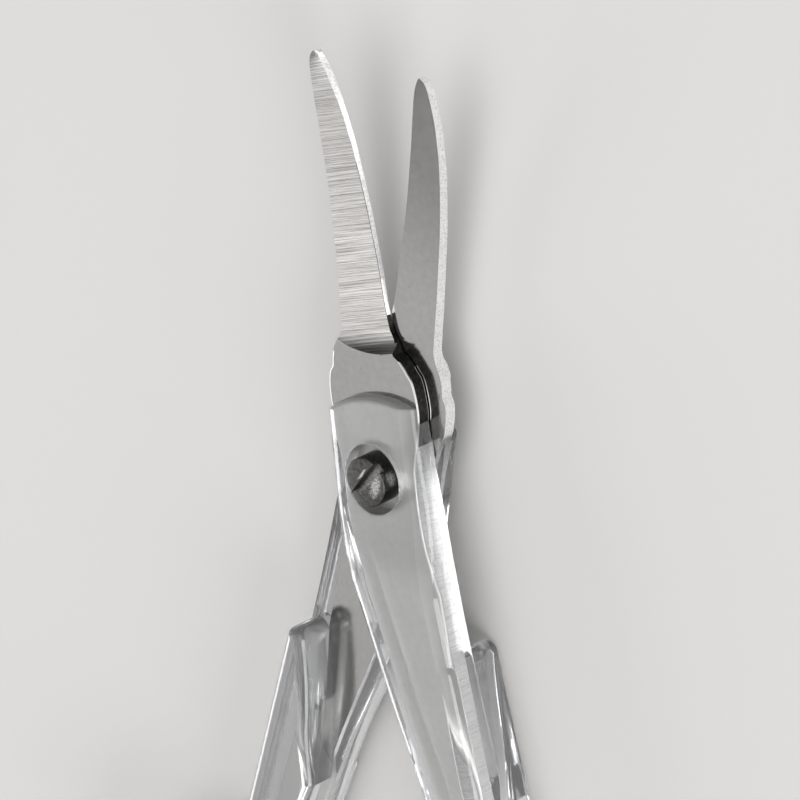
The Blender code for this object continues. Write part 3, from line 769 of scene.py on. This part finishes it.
def polishedSteel(name, place):
    # rolled stainless sheet, tumbled and buffed: an even grey mirror with pin-prick pits
    material, tree, shader, at = startMaterial(name, place)
    cloud = addNode(tree, "ShaderNodeTexNoise", {"Scale": 1.6, "Detail": 5.0, "Roughness": 0.55},
                    {"Vector": at})
    colour = addNode(tree, "ShaderNodeValToRGB", {"stops": ((0.3, "#c1c0be"), (0.7, "#c8c7c5"))},
                     {"Fac": cloud.outputs["Fac"]})
    pits = addNode(tree, "ShaderNodeTexVoronoi", {"Scale": 0.9, "Randomness": 1.0}, {"Vector": at})
    pitMask = addNode(tree, "ShaderNodeMapRange",
                      {"From Min": 0.035, "From Max": 0.06, "To Min": 0.72, "To Max": 1.0},
                      {"Value": pits.outputs["Distance"]})
    pitted = addNode(tree, "ShaderNodeMixRGB", {"blend_type": "MULTIPLY", "Fac": 1.0},
                     {"Color1": colour.outputs["Color"], "Color2": pitMask.outputs["Result"]})
    # painted shade: darker towards the blade's tip, standing in for the darker room that the polished
    # face reflects there
    split = addNode(tree, "ShaderNodeSeparateXYZ", None, {"Vector": at})
    paintedTipShade = addNode(tree, "ShaderNodeMapRange",
                         {"From Min": 19.0, "From Max": 36.0, "To Min": 1.0, "To Max": 0.68},
                         {"Value": split.outputs["Y"]})
    darker = addNode(tree, "ShaderNodeMixRGB", {"blend_type": "MULTIPLY", "Fac": 1.0},
                     {"Color1": pitted.outputs["Color"], "Color2": paintedTipShade.outputs["Result"]})
    # under the clear cover, behind its arch, the outer face keeps the satin of the strip
    arch = Vector((*handleValues["archCentre"], 0))
    clamped = addNode(tree, "ShaderNodeVectorMath",
                      {"operation": "MAXIMUM", 1: (-50, arch.y, -50)}, {0: at})
    away = addNode(tree, "ShaderNodeVectorMath", {"operation": "DISTANCE", 1: arch},
                   {0: clamped.outputs["Vector"]})
    covered = addNode(tree, "ShaderNodeMapRange",
                      {"From Min": 9.9, "From Max": 10.1, "To Min": 0.28, "To Max": 0.0},
                      {"Value": away.outputs["Value"]})
    outer = addNode(tree, "ShaderNodeMapRange", {"From Min": 0.5, "From Max": 0.7},
                    {"Value": split.outputs["Z"]})
    base = addNode(tree, "ShaderNodeMapRange", {"To Min": 0.10, "To Max": 0.17},
                   {"Value": cloud.outputs["Fac"]})
    rough = addNode(tree, "ShaderNodeMath", {"operation": "MULTIPLY_ADD"},
                    {0: covered.outputs["Result"], 1: outer.outputs["Result"],
                     2: base.outputs["Result"]})
    tree.links.new(rough.outputs[0], shader.inputs["Roughness"])
    finishMaterial(tree, shader, darker.outputs["Color"])
    return material


def punchedEdge(name, place):
    # sheared and tumbled edge of the strip: pale, frosted, with bright specks on the blade's spine
    material, tree, shader, at = startMaterial(name, place, 0.42)
    grit = addNode(tree, "ShaderNodeTexNoise", {"Scale": 6.5, "Detail": 3.0, "Roughness": 0.7},
                   {"Vector": at})
    # under the handle it keeps the punch's marks, from face to face
    across = addNode(tree, "ShaderNodeMapping", {"vector_type": "TEXTURE", "Scale": (0.8, 0.075, 2.0)},
                     {"Vector": at})
    tears = addNode(tree, "ShaderNodeTexNoise", {"Scale": 1.0, "Detail": 3.0, "Roughness": 0.7},
                    {"Vector": across.outputs["Vector"]})
    split = addNode(tree, "ShaderNodeSeparateXYZ", None, {"Vector": at})
    behind = addNode(tree, "ShaderNodeMapRange",
                     {"From Min": 0.0, "From Max": 4.0, "To Min": 0.7, "To Max": 0.0},
                     {"Value": split.outputs["Y"]})
    relief = addNode(tree, "ShaderNodeMixRGB", None,
                     {"Fac": behind.outputs["Result"], "Color1": grit.outputs["Fac"],
                      "Color2": tears.outputs["Fac"]})
    colour = addNode(tree, "ShaderNodeValToRGB", {"stops": ((0.34, "#d6d6d5"), (0.54, "#fefefd"))},
                     {"Fac": relief.outputs["Color"]})
    bump = addNode(tree, "ShaderNodeBump", {"Strength": 0.4, "Distance": 0.000006},
                   {"Height": relief.outputs["Color"]})
    finishMaterial(tree, shader, colour.outputs["Color"], bump.outputs["Normal"])
    return material


def shearedPaintedShadow(name, place):
    # the die-cut wall beside the pivot, with painted shadow where the other lever blocks the light:
    # almost black, with a dull shine
    material, tree, shader, at = startMaterial(name, place, 0.3)
    tear = addNode(tree, "ShaderNodeTexNoise", {"Scale": 4.0, "Detail": 3.0, "Roughness": 0.6},
                   {"Vector": at})
    colour = addNode(tree, "ShaderNodeValToRGB", {"stops": ((0.35, "#1b1b1b"), (0.7, "#3a3938"))},
                     {"Fac": tear.outputs["Fac"]})
    finishMaterial(tree, shader, colour.outputs["Color"])
    return material


def clearStyrene(name, place, colour, roughness):
    # injection-moulded clear SAN: glassy, with the slight ripple that moulding leaves
    material, tree, shader, at = startMaterial(name, place, roughness, metallic=0.0)
    ripple = addNode(tree, "ShaderNodeTexNoise", {"Scale": 0.22, "Detail": 2.0, "Roughness": 0.4},
                     {"Vector": at})
    bump = addNode(tree, "ShaderNodeBump", {"Strength": 0.5, "Distance": 0.00012},
                   {"Height": ripple.outputs["Fac"]})
    shader.inputs["Base Color"].default_value = linear(colour)
    shader.inputs["Transmission Weight"].default_value = 0.93
    shader.inputs["IOR"].default_value = 1.56
    finishMaterial(tree, shader, normal=bump.outputs["Normal"])
    return material


# centre, turn, half length, half width and tone of each patch of painted light and painted shadow on the
# screw
screwPaintedLightPatches = (
    ((1.16, -0.10, 3.2), 70, 1.15, 0.50, "#f4f2ee"),    # painted highlight on half of the head
    ((-0.20, 0.70, 3.2), 45, 0.75, 0.12, "#ffffff"),    # painted highlight along the slot
    ((2.0, 0.45, 2.3), 103, 0.55, 1.0, "#f4f2ee"),      # painted sheen on the head's side
    ((0.85, 0.95, 2.8), 45, 0.8, 0.42, "#a8a6a3"),      # painted light on the upper end of the slot
    ((0.1, 0.1, 2.5), 45, 1.6, 0.40, "#b4b2af"),        # painted light on the slot's floor
    ((0.45, -0.17, 3.0), 45, 1.6, 0.06, "#0c0c0c"),     # painted shadow along the slot's right edge
)


def turnedScrewSteel(name, place):
    # hardened screw, oil-blacked and turned: dark grey, with patches of painted highlight and painted
    # shadow
    material, tree, shader, at = startMaterial(name, place, 0.3)
    screwMottle = addNode(tree, "ShaderNodeTexNoise", {"Scale": 3.4, "Detail": 5.0, "Roughness": 0.7},
                   {"Vector": at})
    colour = addNode(tree, "ShaderNodeValToRGB", {"stops": ((0.35, "#454443"), (0.7, "#706f6d"))},
                     {"Fac": screwMottle.outputs["Fac"]})
    grain = addNode(tree, "ShaderNodeTexNoise", {"Scale": 7.0, "Detail": 5.0, "Roughness": 0.75},
                    {"Vector": at})
    ridges = addNode(tree, "ShaderNodeMapRange",
                     {"From Min": 0.40, "From Max": 0.62, "To Min": 0.15, "To Max": 1.0},
                     {"Value": grain.outputs["Fac"]})
    surface = colour
    for centre, turn, halfLength, halfWidth, tone in screwPaintedLightPatches:
        # an oval, ragged by the noise
        spot = addNode(tree, "ShaderNodeMapping",
                       {"vector_type": "TEXTURE", "Location": centre,
                        "Rotation": (0, 0, math.radians(turn)), "Scale": (halfLength, halfWidth, 0.5)},
                       {"Vector": at})
        away = addNode(tree, "ShaderNodeVectorMath", {"operation": "LENGTH"},
                       {0: spot.outputs["Vector"]})
        ragged = addNode(tree, "ShaderNodeMath", {"operation": "MULTIPLY_ADD", 1: -1.6},
                         {0: screwMottle.outputs["Fac"], 2: away.outputs["Value"]})
        mask = addNode(tree, "ShaderNodeMapRange",
                       {"From Min": -0.3, "From Max": 0.4, "To Min": 1.0, "To Max": 0.0},
                       {"Value": ragged.outputs[0]})
        paintedLightMask = addNode(tree, "ShaderNodeMath", {"operation": "MULTIPLY"},
                         {0: mask.outputs["Result"], 1: ridges.outputs["Result"]})
        surface = addNode(tree, "ShaderNodeMixRGB", {"Color2": linear(tone)},
                          {"Fac": paintedLightMask.outputs[0], "Color1": surface.outputs["Color"]})
    bump = addNode(tree, "ShaderNodeBump", {"Strength": 0.5, "Distance": 0.00002},
                   {"Height": screwMottle.outputs["Fac"]})
    finishMaterial(tree, shader, surface.outputs["Color"], bump.outputs["Normal"])
    return material


# Putting it together
def finishSurface(item):
    selectOnly(item)
    bpy.ops.object.shade_smooth_by_angle(angle=smoothBelow, keep_sharp_edges=False)
    applyModifier(item, "WEIGHTED_NORMAL", keep_sharp=True, weight=60)


for side, place, blade in (("front", frontPlace, frontBlade), ("rear", rearPlace, rearBlade)):
    steels = [groundSteel(side + "GroundSteel", place), honedSteel(side + "HonedSteel", place),
              polishedSteel(side + "PolishedSteel", place), punchedEdge(side + "PunchedEdge", place),
              shearedPaintedShadow(side + "ShearedPaintedShadow", place)]
    steel = makeSteelLever(side + "SteelLever", steelValues, blade)
    paintSteel(steel, steelValues, blade, steels)
    bendBlade(steel, steelValues, blade)
    bpy.ops.mesh.primitive_cylinder_add(vertices=64, radius=steelValues["holeRadius"], depth=10)
    cutWith(steel, bpy.context.object)
    finishSurface(steel)
    placeOn(steel, place, side + "_lever", side + "_blade")

    handle = makeHandle(side + "ClearHandle", handleValues, handleValues["noseReach"][side])
    handle.data.materials.clear()
    handle.data.materials.append(clearStyrene(side + "ClearStyrene", place, "#fafbfd", 0.025))
    # the recess wall: matt, with a grey base colour that is painted shade
    handle.data.materials.append(clearStyrene(side + "MattStyrenePaintedShade", place, "#8f9193", 0.3))
    for face in handle.data.polygons:
        # the pin that moulds the recess leaves its wall matt, and the wall's grey tone is painted shade
        past = math.hypot(face.center.x, face.center.y) - handleValues["recessRadius"]
        wall = past < handleValues["mattReach"] and abs(face.normal.z) < 0.5
        face.material_index = 1 if wall else 0
    finishSurface(handle)
    placeOn(handle, place, side + "_lever", side + "_handle")
    print(side, "lever in place")

screw = makeScrew("slottedPivotScrew", screwValues)
screw.data.materials.clear()
screw.data.materials.append(turnedScrewSteel("turnedScrewSteel", frontPlace))
finishSurface(screw)
placeOn(screw, frontPlace, "rear_lever", "pivot_screw")
print("screw in place")


# Floor and light
bpy.ops.mesh.primitive_plane_add(size=8, location=(0, 0, -0.00002))
floor = bpy.context.object
floor.name = "studioFloor"
material, tree, shader = newMaterial("paleStudioFloor")
shader.inputs["Base Color"].default_value = linear("#d6d5d3")
shader.inputs["Roughness"].default_value = 0.6
floor.data.materials.append(material)

# an even pale room with one wide soft bank of light, up to the left of the picture
roomValues = {
    "colour": "#fffefd",
    "evenly": 0.25,
    "bank": 0.60,
    "towardsBank": Vector((-0.40, -0.30, 0.87)),
    "falloff": 15.0,
}
world = bpy.data.worlds.new("softStudio")
scene.world = world
world.use_nodes = True
sky = world.node_tree
background = sky.nodes["Background"]
background.inputs["Color"].default_value = linear(roomValues["colour"])
way = addNode(sky, "ShaderNodeTexCoord")
near = addNode(sky, "ShaderNodeVectorMath",
               {"operation": "DOT_PRODUCT", 1: roomValues["towardsBank"].normalized()},
               {0: way.outputs["Generated"]})
half = addNode(sky, "ShaderNodeMath", {"operation": "MULTIPLY_ADD", 1: 0.5, 2: 0.5},
               {0: near.outputs["Value"]})
bank = addNode(sky, "ShaderNodeMath", {"operation": "POWER", 1: roomValues["falloff"]},
               {0: half.outputs[0]})
level = addNode(sky, "ShaderNodeMath",
                {"operation": "MULTIPLY_ADD", 1: roomValues["bank"], 2: roomValues["evenly"]},
                {0: bank.outputs[0]})
sky.links.new(level.outputs[0], background.inputs["Strength"])

# direction from the pivot, size in metres, and power in watts
lampDistance = 0.9
lamps = {
    "overheadBox": ((0.22, 0.12, 0.95), (1.3, 1.3), 6.0),
    "rightBox": ((0.88, -0.30, 0.38), (0.62, 0.46), 4.8),
    "leftBox": ((-0.89, -0.40, 0.20), (0.42, 0.42), 2.9),
}
for name, (direction, size, power) in lamps.items():
    data = bpy.data.lights.new(name, "AREA")
    data.shape = "RECTANGLE"
    data.size, data.size_y = size
    data.energy = power
    lamp = bpy.data.objects.new(name, data)
    scene.collection.objects.link(lamp)
    towards = Vector(direction).normalized()
    lamp.location = pivot + towards * lampDistance
    lamp.rotation_euler = towards.to_track_quat("Z", "Y").to_euler()
print("floor and lights placed")
